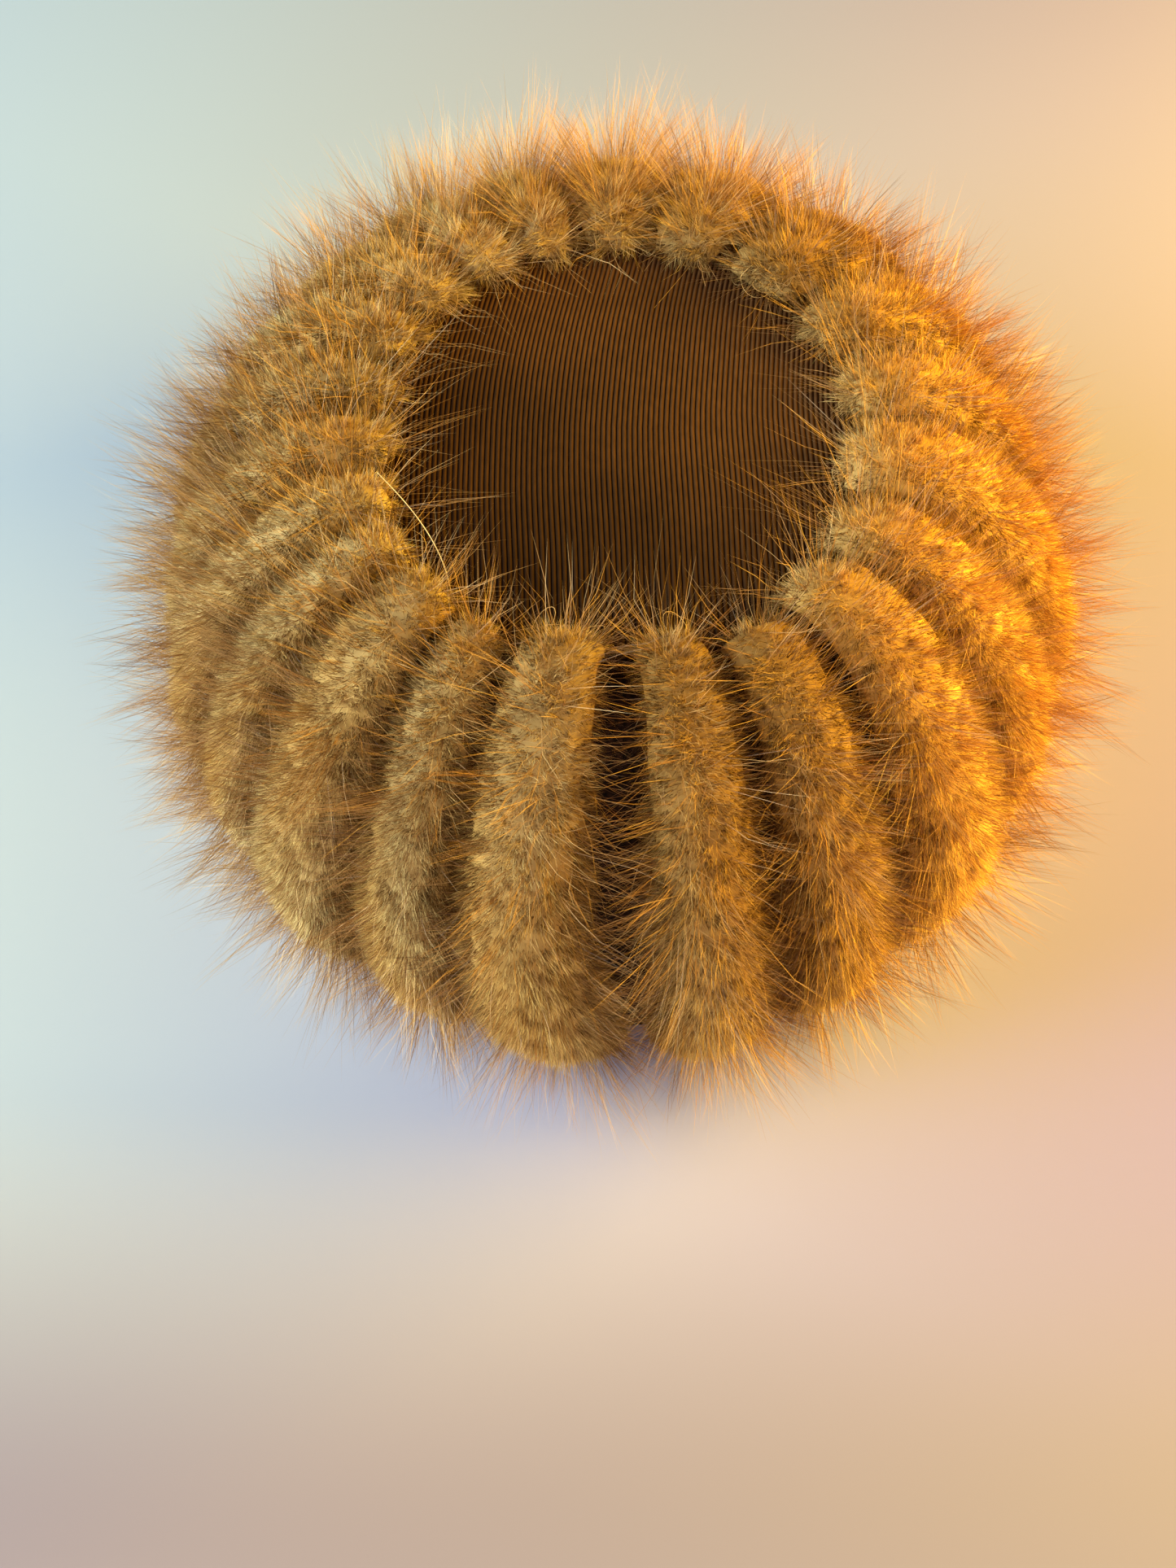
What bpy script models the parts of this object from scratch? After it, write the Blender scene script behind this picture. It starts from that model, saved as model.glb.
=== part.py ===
"""Pillbox hat: a ribbed fabric crown and side wall under 21 puffed rolls of fur.

Metres, +Z up. The hem stands on z = 0 and the hat's axis is the Z axis. X is across the
hat and Y along it, with the back of the hat at -Y. Every piece is worked out as a round
shape about the axis and then lengthened along Y by OVAL.
"""
import math
from collections import namedtuple

import bmesh
import bpy

# Driving dimensions
OVAL = 1.10                # length of the hat over its width
CLOTH = 0.002              # thickness of the fabric wall and of the crown
SEAM_GAP = 0.0003          # clearance where two pieces are sewn together
PILE_GAP = 0.0004          # clearance between a roll's back and the fabric under it
TURN_STEPS = 48            # facets round a turned piece

CROWN_RADIUS = 0.0650      # cut edge of the crown, under the ends of the fur
CROWN_TOP = 0.1038         # height of the crown's upper face at its edge
CROWN_DOME = 0.0010        # rise of the crown's middle
CROWN_FLAT_FROM = 0.0520   # radius where the dome ends
DOME_RINGS = 4             # rings of facets in the dome

LIP_RADIUS = 0.0580        # inner edge of the lip that carries the crown
SHOULDER_RADIUS = CROWN_RADIUS + SEAM_GAP   # where the wall turns down from the crown
WALL_RADIUS = 0.0920       # outside of the wall where it is widest
HEM_RADIUS = 0.0915        # outside of the wall at the hem
WALL_WIDEST_Z = 0.0400     # height where the wall is widest
SHOULDER_POWER = 2.1       # roundness of the shoulder, 2 is a true ellipse

TIP_LEAN = 0.0015          # how far the fur leans in over its own end
TIP_DEPTH = 0.0035         # thickness of the fur at that end
CREST_RADIUS = 0.0650      # radius of the top of the fur
CREST_Z = 0.1110           # height of the top of the fur
BULGE_RADIUS = 0.1120      # widest reach of the dense fur
BULGE_Z = 0.0465           # height of that widest reach
TUCK_RADIUS = 0.0950       # radius where the fur turns in under the hem
CREST_POWER = 1.75         # roundness of the fur from crest to bulge
TUCK_POWER = 1.75          # roundness of the fur from bulge to hem
ROLL_FOOT_Z = 0.0010       # lowest point of a roll, just clear of the surface

ROLL_AROUND = 12           # points round a roll's section
ROLL_ALONG = 16            # steps along a roll
CROWN_STEPS = 3            # how many of them lie on the crown
CURVE_STEPS = 20           # fineness of the curves that those steps are spaced along
END_POWER = 8.0            # bluntness of a roll's two ends
END_WIDTH = 0.62           # width of a roll right at its end, against the full width
END_PUFF = 0.30            # thickness of a roll right at its end, against the full one
LEAST_PUFF = 0.0016        # thinnest that a roll gets
WAIST = 0.42               # height of a roll's widest line, against its thickness
LEAST_SEAM = 0.0007        # clearance between two rolls where no wall shows
SEAM_OPENING = 1.0         # how soon a wider seam opens below the crown, lower is sooner
LOCK_FROM = 0.5            # height on a roll, against its thickness, where locks begin
LOCK_RISE = 0.0045         # how far the locks stand out of a roll
LOCK_RAKE = 0.0030         # how far their tips are combed down towards the hem
LOCK_SPREAD = 0.4          # share of that combing that goes outwards instead

# One row for each roll, going round from the back of the hat towards +X. The angles are in
# degrees from +X at the crown, at mid height and at the hem. Width is the share of the room
# between two middles that the roll takes, puff its thickness against the common profile,
# gap the bare wall left between it and the next roll, and start the radius on the crown
# where its fur begins, both in millimetres.
ROLL_ROWS = (
    # crown   mid    hem  width puff  gap start
    (257.0, 256.2, 262.0, 32.0, 1.09, 12.0, 60.0),
    (278.5, 279.0, 281.5, 29.0, 1.08, 3.6, 60.0),
    (292.0, 296.0, 298.0, 27.0, 0.97, 4.0, 64.0),
    (310.5, 316.0, 317.5, 30.0, 1.03, 1.2, 59.0),
    (325.0, 332.5, 334.5, 26.0, 0.95, 1.0, 55.5),
    (347.5, 350.0, 351.5, 30.0, 1.03, 0.9, 53.0),
    (368.0, 367.5, 368.0, 28.0, 0.97, 0.9, 53.5),
    (387.0, 385.5, 385.0, 32.0, 1.02, 0.9, 53.5),
    (410.0, 406.5, 405.5, 37.0, 1.03, 1.2, 53.5),
    (432.0, 429.0, 428.0, 36.0, 0.98, 0.9, 53.5),
    (450.0, 449.0, 448.5, 34.0, 1.00, 0.9, 53.5),
    (465.5, 467.5, 468.0, 32.0, 0.97, 1.1, 53.5),
    (479.5, 485.0, 486.0, 30.0, 1.01, 0.9, 53.5),
    (495.5, 501.5, 502.5, 30.0, 0.97, 0.9, 54.5),
    (513.5, 516.5, 518.0, 28.0, 1.00, 0.9, 53.5),
    (530.0, 531.0, 532.0, 27.0, 1.02, 0.9, 53.0),
    (545.0, 545.0, 545.0, 26.0, 0.97, 0.9, 53.5),
    (562.5, 558.0, 557.5, 26.0, 1.02, 0.9, 56.5),
    (575.0, 570.5, 569.5, 24.0, 0.95, 0.9, 60.0),
    (588.0, 584.5, 583.0, 30.0, 1.04, 1.0, 61.5),
    (601.5, 601.0, 602.0, 23.0, 0.92, 1.0, 65.0),
)
Roll = namedtuple("Roll", "crown mid hem width puff gap start")
ROLLS = [Roll(*row) for row in ROLL_ROWS]

FABRIC = {"colour": (0.115, 0.055, 0.024, 1.0), "rough": 0.78, "metal": 0.0}
FUR = {"colour": (0.530, 0.320, 0.140, 1.0), "rough": 0.70, "metal": 0.0}


def clear_scene():
    """Start from an empty file."""
    for thing in list(bpy.data.objects):
        bpy.data.objects.remove(thing, do_unlink=True)


def principled(name, finish):
    """A plain material with the piece's colour, roughness and metallic value."""
    material = bpy.data.materials.new(name)
    material.use_nodes = True
    shader = material.node_tree.nodes["Principled BSDF"]
    shader.inputs["Base Color"].default_value = finish["colour"]
    shader.inputs["Roughness"].default_value = finish["rough"]
    shader.inputs["Metallic"].default_value = finish["metal"]
    return material


def quarter(start, end, power, steps):
    """Points of a quarter superellipse that leaves start level and reaches end upright."""
    points = []
    for step in range(steps + 1):
        turn = 0.5 * math.pi * step / steps
        out = math.sin(turn) ** (2.0 / power)
        down = 1.0 - math.cos(turn) ** (2.0 / power)
        points.append((start[0] + (end[0] - start[0]) * out,
                       start[1] + (end[1] - start[1]) * down))
    return points


def at(path, share):
    """The point a share of the way along a polyline, counted in its own length."""
    lengths = [math.dist(a, b) for a, b in zip(path, path[1:])]
    left = share * sum(lengths)
    for (a, b), length in zip(zip(path, path[1:]), lengths):
        if left <= length:
            return tuple(p + (q - p) * left / length for p, q in zip(a, b))
        left -= length
    return path[-1]


def evenly(path, steps):
    """Points along a polyline at equal spaces of its own length."""
    lengths = [math.dist(a, b) for a, b in zip(path, path[1:])]
    points = []
    for step in range(steps + 1):
        left = sum(lengths) * step / steps
        piece = 0
        while piece < len(lengths) - 1 and left > lengths[piece]:
            left -= lengths[piece]
            piece += 1
        share = min(left / lengths[piece], 1.0)
        a, b = path[piece], path[piece + 1]
        points.append((a[0] + (b[0] - a[0]) * share, a[1] + (b[1] - a[1]) * share))
    return points


def wall_path():
    """Outside of the fabric wall, as (radius, height) from the crown's edge to the hem."""
    edge = (SHOULDER_RADIUS, CROWN_TOP)
    widest = (WALL_RADIUS, WALL_WIDEST_Z)
    path = quarter(edge, widest, SHOULDER_POWER, CURVE_STEPS) + [(HEM_RADIUS, 0.0)]
    return evenly(path, ROLL_ALONG - CROWN_STEPS)


def fur_path():
    """Outside of the dense fur over the wall, from its crest over the bulge to the tuck."""
    crest = (CREST_RADIUS, CREST_Z)
    bulge = (BULGE_RADIUS, BULGE_Z)
    tuck = (TUCK_RADIUS, ROLL_FOOT_Z)
    over = quarter(crest, bulge, CREST_POWER, CURVE_STEPS)
    under = quarter(tuck, bulge, TUCK_POWER, CURVE_STEPS)
    return evenly(over + under[::-1][1:], ROLL_ALONG - CROWN_STEPS)


def stations(start):
    """Matching points of the fabric and of the dense fur, all along a roll."""
    flat = evenly([(start, CROWN_TOP), (SHOULDER_RADIUS, CROWN_TOP)], CROWN_STEPS)
    tip = (start - TIP_LEAN, CROWN_TOP + TIP_DEPTH)
    rise = evenly(quarter((CREST_RADIUS, CREST_Z), tip, 2.0, CURVE_STEPS)[::-1], CROWN_STEPS)
    backs = flat[:-1] + wall_path()
    fronts = rise[:-1] + fur_path()
    return list(zip(backs, fronts))


def turned(name, profile, closed, material, collection):
    """A turned piece: its half outline and a Screw modifier, lengthened along Y."""
    mesh = bpy.data.meshes.new(name)
    count = len(profile)
    edges = [(i, (i + 1) % count) for i in range(count if closed else count - 1)]
    mesh.from_pydata([(radius, 0.0, height) for radius, height in profile], edges, [])
    mesh.materials.append(material)
    piece = bpy.data.objects.new(name, mesh)
    piece.scale = (1.0, OVAL, 1.0)
    collection.objects.link(piece)
    screw = piece.modifiers.new("turn", "SCREW")
    screw.axis = "Z"
    screw.steps = TURN_STEPS
    screw.render_steps = TURN_STEPS
    screw.use_merge_vertices = True
    screw.merge_threshold = 0.0001
    screw.use_smooth_shade = True


def make_crown(material, collection):
    """The disc on top: a low dome inside, and flat where the wall's lip carries it."""
    top = []
    for ring in range(DOME_RINGS + 1):
        share = ring / DOME_RINGS
        rise = 0.5 * CROWN_DOME * (1.0 + math.cos(math.pi * share))
        top.append((CROWN_FLAT_FROM * share, CROWN_TOP + rise))
    edge = [(CROWN_RADIUS, CROWN_TOP), (CROWN_RADIUS, CROWN_TOP - CLOTH)]
    below = [(radius, height - CLOTH) for radius, height in reversed(top)]
    turned("crown_tip", top + edge + below, False, material, collection)


def make_wall(material, collection):
    """The wall: a rebate that holds the crown, the shoulder, and the side down to the hem."""
    seat_z = CROWN_TOP - CLOTH - SEAM_GAP
    under_z = seat_z - CLOTH
    outer = wall_path()
    inner = []
    for before, here, after in zip(outer, outer[1:], outer[2:]):
        run = (after[0] - before[0], after[1] - before[1])
        size = math.hypot(*run)
        radius = here[0] + CLOTH * run[1] / size
        height = here[1] - CLOTH * run[0] / size
        inner.append((radius, min(height, under_z)))
    inner.append((HEM_RADIUS - CLOTH, 0.0))
    seat = [(LIP_RADIUS, under_z), (LIP_RADIUS, seat_z), (SHOULDER_RADIUS, seat_z)]
    turned("side_band", outer + inner[::-1] + seat, True, material, collection)


def angle_at(roll, share):
    """A roll's middle at a share of its way down: through its crown, mid and hem angles."""
    if share < 0.5:
        return roll.crown + (roll.mid - roll.crown) * math.sin(math.pi * share)
    return roll.mid + (roll.hem - roll.mid) * (2.0 * share - 1.0)


def seam_after(index, share, radius):
    """The angles of the two sides of the seam between a roll and the next one."""
    roll = ROLLS[index]
    after = ROLLS[(index + 1) % len(ROLLS)]
    here = angle_at(roll, share)
    there = here + (angle_at(after, share) - here) % 360.0
    middle = here + (there - here) * roll.width / (roll.width + after.width)
    opening = max(math.sin(math.pi * share), 0.0) ** SEAM_OPENING
    gap = LEAST_SEAM + max(roll.gap * 0.001 - LEAST_SEAM, 0.0) * opening
    half = math.degrees(0.5 * gap / radius)
    return middle - half, middle + half


def roll_point(index, pairs, direction):
    """Where a point of the unit sphere goes on a roll, and whether it is a lock's tip."""
    share = math.acos(max(-1.0, min(1.0, direction.z))) / math.pi
    step = round(share * ROLL_ALONG)
    turn = math.atan2(direction.y, direction.x)
    back, front = pairs[step]
    depth = math.dist(back, front)
    fullness = (1.0 - abs(2.0 * share - 1.0) ** END_POWER) ** 0.5
    across = math.cos(turn) * (END_WIDTH + (1.0 - END_WIDTH) * fullness)
    rise = max(WAIST + (1.0 - WAIST) * math.sin(turn), 0.0)
    if step in (0, ROLL_ALONG):
        across = 0.0
        rise = 0.5
    puff = depth * ROLLS[index].puff * (END_PUFF + (1.0 - END_PUFF) * fullness)
    column = round(ROLL_AROUND * turn / (2.0 * math.pi))
    is_tip = rise > LOCK_FROM and (step + column) % 2 == 0
    lock = fullness if is_tip else 0.0
    out = PILE_GAP + rise * (max(puff, LEAST_PUFF) + LOCK_RISE * lock)
    outward = ((front[0] - back[0]) / depth, (front[1] - back[1]) / depth)
    radius = back[0] + outward[0] * out + LOCK_RAKE * LOCK_SPREAD * lock * outward[1]
    height = back[1] + outward[1] * out - LOCK_RAKE * lock * outward[0]
    right = seam_after(index, share, radius)[0]
    left = right - (right - seam_after(index - 1, share, radius)[1]) % 360.0
    bearing = math.radians(0.5 * (left + right) + 0.5 * (right - left) * across)
    place = (radius * math.cos(bearing), OVAL * radius * math.sin(bearing),
             max(height, ROLL_FOOT_Z))
    return place, is_tip


def fold_between(shape, tips):
    """Cut each four-sided face from low corner to low corner, so that each lock is a peak."""
    for face in list(shape.faces):
        low = [vert for vert in face.verts if vert not in tips]
        if len(face.verts) == 4 and len(low) == 2:
            bmesh.utils.face_split(face, low[0], low[1])


def make_roll(index, collection):
    """One fur roll: a sphere drawn out along the wall, its back flat, its front in locks."""
    name = f"fur_roll_{index + 1:02d}"
    pairs = stations(ROLLS[index].start * 0.001)
    shape = bmesh.new()
    bmesh.ops.create_uvsphere(shape, u_segments=ROLL_AROUND, v_segments=ROLL_ALONG, radius=1.0)
    tips = set()
    for vert in shape.verts:
        vert.co, is_tip = roll_point(index, pairs, vert.co)
        if is_tip:
            tips.add(vert)
    fold_between(shape, tips)
    bmesh.ops.reverse_faces(shape, faces=shape.faces)
    mesh = bpy.data.meshes.new(name)
    shape.to_mesh(mesh)
    shape.free()
    mesh.shade_smooth()
    mesh.materials.append(principled(f"{name}_fur", FUR))
    collection.objects.link(bpy.data.objects.new(name, mesh))


def main():
    clear_scene()
    hat = bpy.data.collections.new("fur_roll_pillbox_hat")
    bpy.context.scene.collection.children.link(hat)
    make_crown(principled("ribbed_crown_fabric", FABRIC), hat)
    make_wall(principled("side_wall_fabric", FABRIC), hat)
    for index in range(len(ROLLS)):
        make_roll(index, hat)


main()
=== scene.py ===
"""Looks of the fur roll pillbox hat: ribbed crown, fabric wall, fur rolls and studio.

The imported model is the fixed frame. The fur follows the same profile and the same table of
rolls as the solids do, with an underfur core and joined meshes of single hairs on it.
Metres, +Z up, the back of the hat at -Y.
"""
import math
from collections import namedtuple

import bpy
import numpy as np
from bpy.props import FloatProperty, FloatVectorProperty, IntProperty, PointerProperty
from bpy.types import Operator, Panel, PropertyGroup
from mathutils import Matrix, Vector


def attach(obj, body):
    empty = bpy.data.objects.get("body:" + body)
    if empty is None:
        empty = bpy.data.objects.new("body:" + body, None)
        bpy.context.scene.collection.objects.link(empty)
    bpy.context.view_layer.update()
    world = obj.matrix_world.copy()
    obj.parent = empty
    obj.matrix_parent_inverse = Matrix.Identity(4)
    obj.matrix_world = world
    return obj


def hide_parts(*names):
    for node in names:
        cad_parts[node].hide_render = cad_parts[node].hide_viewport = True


bl_info = {
    "name": "Fur Roll Pillbox Hat",
    "version": (1, 0, 0),
    "blender": (4, 5, 0),
    "location": "3D View > Sidebar > Hat",
    "description": "Dresses a pillbox hat with ribbed fabric and rolls of long fur",
    "category": "Object",
}

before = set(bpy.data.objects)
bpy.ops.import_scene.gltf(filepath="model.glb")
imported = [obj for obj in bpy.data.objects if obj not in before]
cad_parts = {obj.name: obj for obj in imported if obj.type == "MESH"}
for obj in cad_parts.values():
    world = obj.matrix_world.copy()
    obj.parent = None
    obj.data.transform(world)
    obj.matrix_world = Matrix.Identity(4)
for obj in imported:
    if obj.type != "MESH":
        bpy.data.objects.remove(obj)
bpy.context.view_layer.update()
BODY = "root"

# Shape of the hat, as in its solids
OVAL = 1.10
CLOTH = 0.002
SEAM_GAP = 0.0003
PILE_GAP = 0.0004
CROWN_RADIUS = 0.0650
CROWN_TOP = 0.1038
CROWN_DOME = 0.0010
CROWN_FLAT_FROM = 0.0520
LIP_RADIUS = 0.0580
SHOULDER_RADIUS = CROWN_RADIUS + SEAM_GAP
WALL_RADIUS = 0.0920
HEM_RADIUS = 0.0915
WALL_WIDEST_Z = 0.0400
SHOULDER_POWER = 2.1
TIP_LEAN = 0.0015
TIP_DEPTH = 0.0035
CREST_RADIUS = 0.0650
CREST_Z = 0.1110
BULGE_RADIUS = 0.1120
BULGE_Z = 0.0465
TUCK_RADIUS = 0.0950
CREST_POWER = 1.75
TUCK_POWER = 1.75
ROLL_FOOT_Z = 0.0010
END_POWER = 8.0
END_WIDTH = 0.62
END_PUFF = 0.30
LEAST_PUFF = 0.0016
WAIST = 0.42
LEAST_SEAM = 0.0007
MILLIMETRE = 0.001
ALONG_CROWN = 12  # steps of a roll's path on the crown
ALONG_WALL = 52  # steps of a roll's path over the wall
CURVE_STEPS = 60  # fineness of the curves behind those paths

# One row for each roll, from the back of the hat towards +X: degrees from +X at the crown,
# at mid height and at the hem, share of width, puff, bare wall after it and start of its fur
# on the crown, both in millimetres.
ROLL_ROWS = (
    # crown   mid    hem  width puff  gap start
    (257.0, 256.2, 262.0, 32.0, 1.09, 12.0, 60.0),
    (278.5, 279.0, 281.5, 29.0, 1.08, 3.6, 60.0),
    (292.0, 296.0, 298.0, 27.0, 0.97, 4.0, 64.0),
    (310.5, 316.0, 317.5, 30.0, 1.03, 1.2, 59.0),
    (325.0, 332.5, 334.5, 26.0, 0.95, 1.0, 55.5),
    (347.5, 350.0, 351.5, 30.0, 1.03, 0.9, 53.0),
    (368.0, 367.5, 368.0, 28.0, 0.97, 0.9, 53.5),
    (387.0, 385.5, 385.0, 32.0, 1.02, 0.9, 53.5),
    (410.0, 406.5, 405.5, 37.0, 1.03, 1.2, 53.5),
    (432.0, 429.0, 428.0, 36.0, 0.98, 0.9, 53.5),
    (450.0, 449.0, 448.5, 34.0, 1.00, 0.9, 53.5),
    (465.5, 467.5, 468.0, 32.0, 0.97, 1.1, 53.5),
    (479.5, 485.0, 486.0, 30.0, 1.01, 0.9, 53.5),
    (495.5, 501.5, 502.5, 30.0, 0.97, 0.9, 54.5),
    (513.5, 516.5, 518.0, 28.0, 1.00, 0.9, 53.5),
    (530.0, 531.0, 532.0, 27.0, 1.02, 0.9, 53.0),
    (545.0, 545.0, 545.0, 26.0, 0.97, 0.9, 53.5),
    (562.5, 558.0, 557.5, 26.0, 1.02, 0.9, 56.5),
    (575.0, 570.5, 569.5, 24.0, 0.95, 0.9, 60.0),
    (588.0, 584.5, 583.0, 30.0, 1.04, 1.0, 61.5),
    (601.5, 601.0, 602.0, 23.0, 0.92, 1.0, 65.0),
)
# Painted light and shade: how much paler or darker the fur of a roll is painted than the others', by its
# bearing in degrees, for how the lamps fall on that side of the hat
ROLL_LIGHT_TONES = (
    # bearing and tone
    (5.0, 0.17), (45.0, -0.10), (95.0, 0.13), (130.0, 0.10), (168.0, -0.09), (200.0, 0.09),
    (228.0, 0.00), (257.0, -0.02), (279.0, -0.11), (296.0, -0.08), (316.0, 0.13), (345.0, 0.26),
)
Roll = namedtuple("Roll", "crown mid hem width puff gap start")
ROLLS = [Roll(*row) for row in ROLL_ROWS]

# How guard hairs stand: spread of the roots in a wisp, share of it left at the tips, scatter of
# the tips, lean, shortest and longest length, bow and comb towards the hem
Coat = namedtuple("Coat", "spread gather scatter lean length bow comb")
WISP_COAT = Coat(0.0018, 0.20, 0.0008, 0.20, (0.85, 1.25), 0.04, 0.0)
SINGLE_COAT = Coat(0.0, 0.0, 0.0, 0.50, (0.45, 1.35), 0.05, 0.12)
CROSSING_COAT = Coat(0.0, 0.0, 0.0, 1.00, (0.45, 1.20), 0.09, 0.45)

# The fur. Shares run along a roll, from nothing at its inner end to one at the hem. Turns,
# twists, swings and bends are in radians, and lengths in metres. Tones and pale shares go
# from nothing to one.
CORE_ALONG = 60  # steps of the underfur core along a roll
CORE_AROUND = 30  # steps of the core round a roll
SAMPLE_ALONG = 96  # cells that roots are drawn from, along a roll
SAMPLE_AROUND = 44  # the same round a roll
TURN_BELOW = 0.72  # how far round below the waist roots still grow
SLIGHT = 0.004  # small step for slopes on the fur's surface
SPINE_ENDS = (0.07, 0.93)  # between which a roll's hair fans out from its middle
SPINE_RISE = 0.25  # how high in the roll that middle is
FAN = 0.8  # how far hairs follow that fan and not the surface
ROLL_SEED = 4100  # first seed, one more for each roll
CORE_REACH = 0.90  # where the core lies, against the dense fur's surface
CORE_UNEVEN = 0.03  # unevenness of the core
CORE_ALONG_VALUE = 0.45  # how far towards the tips the core's own colour is
CORE_END_PALE = (0.6, 0.2)

# Pale fur, painted light on the crests of the rolls on the left, and the shade beside the next roll
PALE_END = 0.45  # how pale the fur is at a roll's inner end
PALE_END_TO = 0.16  # where that is gone
PALE_END_OVER = 0.12
LIT_CREST_PALE = 0.45  # how pale the crest of a roll on the left is painted: painted light from the left
LIT_CREST_PATCH = 0.75  # how much paler patches of that painted light are
PALE_SOFTNESS = 0.7
PALE_WAVES = (9.0, 2.1, 1.7, 2.0)  # patches of that painted light along a roll, their shift by roll, skew and turns round
CREVICE_SHADE = 0.52  # how much darker the fur is beside the next roll
CREVICE_AHEAD = 0.28  # how much less that is on the front of the hat
CREVICE_OPEN = 0.50  # share of it that a wide gap takes away
WIDE_GAP = (1.5, 6.0)  # millimetres from which a gap is wide, and over which it gets so
FLANK = (0.35, 0.60)  # the same for a roll's flank, in shares of its half width

# Underfur
HAIR_TWIST = 0.30  # spread of the hairs' twist
HAIR_WIDTHS = (0.7, 1.3)
PARTING_WAVES = ((1.0, 17.0, 2.3, 1.0), (1.0, 31.0, -3.1, 1.7))  # size, along, round, shift by roll
UNDERFUR_SPREAD = 0.0008  # spread of the roots of a tuft of underfur
UNDERFUR_GATHER = 0.85  # share of that spread left at the tips
UNDERFUR_SCATTER = 0.00075  # scatter of the tips besides
UNDERFUR_LEAN = (0.0006, 0.0024)
UNDERFUR_RISE = (0.0004, 0.0022)
UNDERFUR_OPEN = (0.40, 0.5)  # least share of it beside the next roll, and where it is full
UNDERFUR_DEPTH = 0.04  # how much deeper than the core it is rooted
LOCK_SWING = 1.1  # how far its locks swing sideways
TUFT_SWING = 0.80  # spread of its tufts besides
LOCKS = (4.0, 3.0)  # how much smaller the locks that rise are than those that swing
LOCK_RISE = (0.40, 1.70)  # how high they rise, from a parting to the middle
CREVICE_RISE = (0.80, 0.2)
COMBED_FROM = 0.16  # where the underfur begins to point to the hem
COMBED_OVER = 0.10
FLUFFY_END = 0.16  # how far from the inner end the underfur is looser
FLUFFY_FURTHER = 0.34  # how much further that goes on the front of the hat
FLUFFY_LEAN = 1.2  # how much more it leans there
FLUFFY_RISE = 0.9  # how much more it rises there
TUFT_TONES = 0.06  # spread of the tone of tufts
HAIR_TONES = 0.21  # spread of the tone of hairs
FAR_SHADOW = 0.30  # how much darker the underfur is at the inner ends of the front rolls
FAR_SHADOW_TO = 0.05
LOW_TUFT_SHADE = 0.30  # how much paler tall tufts of underfur are than low ones: painted shade on the low tufts between the tall ones
HEM_LIGHT = 0.10  # how much paler the underfur is painted near the hem: painted light on the rolls' lower ends
HEM_TONE_FROM = 0.68
HEM_TONE_OVER = 0.15

# Guard hairs and their wisps
GUARD_STEPS = 3  # points along a guard hair
GUARD_TAPER = np.array([1.0, 0.75])
GUARD_OPEN = (0.10, 0.30)  # least share of guard hairs beside the next roll, and where all grow
GUARD_PATCHES = (0.65, 0.35, 7.0, 1.3)  # how many grow, more in patches along a roll, their skew
GUARD_AT_END = 1.6  # how many more grow at a roll's inner end
GUARD_END_TO = 0.08
GUARD_LENGTH_OPEN = (0.50, 0.25)
GUARD_LENGTH_WAVE = (0.70, 1.30)
GUARD_WAVE_SCALE = 0.8
GUARD_ENDS = (0.72, 1.08)  # shortest and longest hair of a wisp
GUARD_TONE = (0.3, 0.4)  # tone of a guard hair, and how much of its roll's tone it takes
GUARD_TONES = (0.12, 0.14)  # spread by wisp and by hair
GUARD_SHADE = 0.6  # how much of the crevice's shade it takes
GUARD_PALE = 0.5  # how much of the pale colour it takes
WISPS_FROM = 0.30  # where wisps begin
WISPS_HIGHER = 0.20  # how much higher they begin on the front of the hat
WISPS_OVER = 0.18
FEWEST_WISPS = 0.03  # share of them above that
END_WISPS = 0.15  # share of them at the inner end
WISPS_AT_END = 0.07
WISPS_BEHIND = 0.28  # share of the wisps on the rolls at the back
WISPS_ROUND = 1.5  # power by which they get more towards the sides

# Hairs that cross a wide gap, curled hairs and the loose one
CROSSING_HAIRS = 30  # hairs for each millimetre of a gap past the next value
CROSSING_GAP = 2.0
CROSSING_TURN = 0.35  # how far round from the side they grow, and how widely
CROSSING_FROM = (0.02, 0.06)
CROSSING_LOW = (0.6, 0.15)  # over what share they get fewer, and the fewest
CURL_STEPS = 12  # points along a curled hair
CURL_END = 0.05  # how far from a roll's inner end they grow
CURL_SIDE = 0.2  # how far from its sides they keep
CURL_INWARD = 0.8  # how far they point to the middle of the crown
CURL_ASIDE = 0.4  # spread of their bend's direction
CURL_BENDS = (1.5, 4.5)
CURL_RADII = (0.0018, 0.0048)
CURL_TONES = (0.3, 0.7)
CURL_PALE = 0.5
THREAD_UP = (0.02, 0.03, 1.0)  # a direction that no long hair runs along
THREAD_SIDES = 3  # sides of the tubes that these hairs are
THREAD_TAPER = (2.5, 0.96)
STRAY_STEPS = 28  # points along the loose hair
STRAY_ROLL = 17  # the roll that it comes from, counted from none
STRAY_PATH = ((-0.0538, -0.0225, 0.1145), (-0.0491, -0.0292, 0.1150), (-0.0442, -0.0364, 0.1140),
              (-0.0399, -0.0435, 0.1115), (-0.0377, -0.0500, 0.1085), (-0.0370, -0.0560, 0.1062),
              (-0.0364, -0.0621, 0.1056))
STRAY_BENDS = 4  # degree of the curve through that path
STRAY_TONE = 0.62
STRAY_PALE = 1.0

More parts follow.
